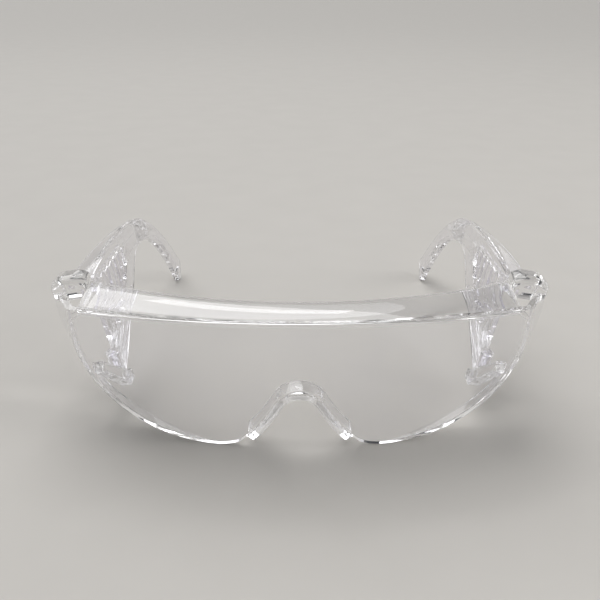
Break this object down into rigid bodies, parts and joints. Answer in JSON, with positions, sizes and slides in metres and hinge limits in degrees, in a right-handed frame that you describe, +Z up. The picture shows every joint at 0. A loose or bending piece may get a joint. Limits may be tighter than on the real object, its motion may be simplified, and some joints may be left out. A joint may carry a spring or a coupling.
{
  "type": "safety glasses",
  "caption": "Clear wrap-around safety glasses with brow guard, moulded nose bridge and folding temples with louvred side vents and lanyard holes.",
  "frame": {"origin": "on the table, midway along the open glasses, on the mirror plane", "axes": "+X to the wearer's left, +Y towards the temple tips, +Z up"},
  "size_m": [0.1644, 0.1595, 0.0523],
  "materials": {
    "clear_front": "clear injection-moulded polycarbonate, polished",
    "clear_temple": "clear injection-moulded polycarbonate, polished"
  },
  "bodies": {
    "front": {"lens_shield": "clear_front", "brow_guard": "clear_front", "nose_bridge": "clear_front", "left_hinge_block": "clear_front", "right_hinge_block": "clear_front", "left_lower_lug": "clear_front", "right_lower_lug": "clear_front"},
    "left_temple": {"left_temple": "clear_temple", "left_vent_louvres": "clear_temple", "left_upper_pin": "clear_temple", "left_lower_pin": "clear_temple"},
    "right_temple": {"right_temple": "clear_temple", "right_vent_louvres": "clear_temple", "right_upper_pin": "clear_temple", "right_lower_pin": "clear_temple"}
  },
  "joints": [
    {"name": "left_temple_fold", "type": "hinge", "parent": "front", "child": "left_temple", "pos_m": [0.06775, -0.04084, 0.02702], "axis": [0.1616, -0.1245, 0.979], "range_deg": [0, 83.5]},
    {"name": "right_temple_fold", "type": "hinge", "parent": "front", "child": "right_temple", "pos_m": [-0.06775, -0.04084, 0.02702], "axis": [0.1616, 0.1245, -0.979], "range_deg": [0, 90.5]}
  ]
}
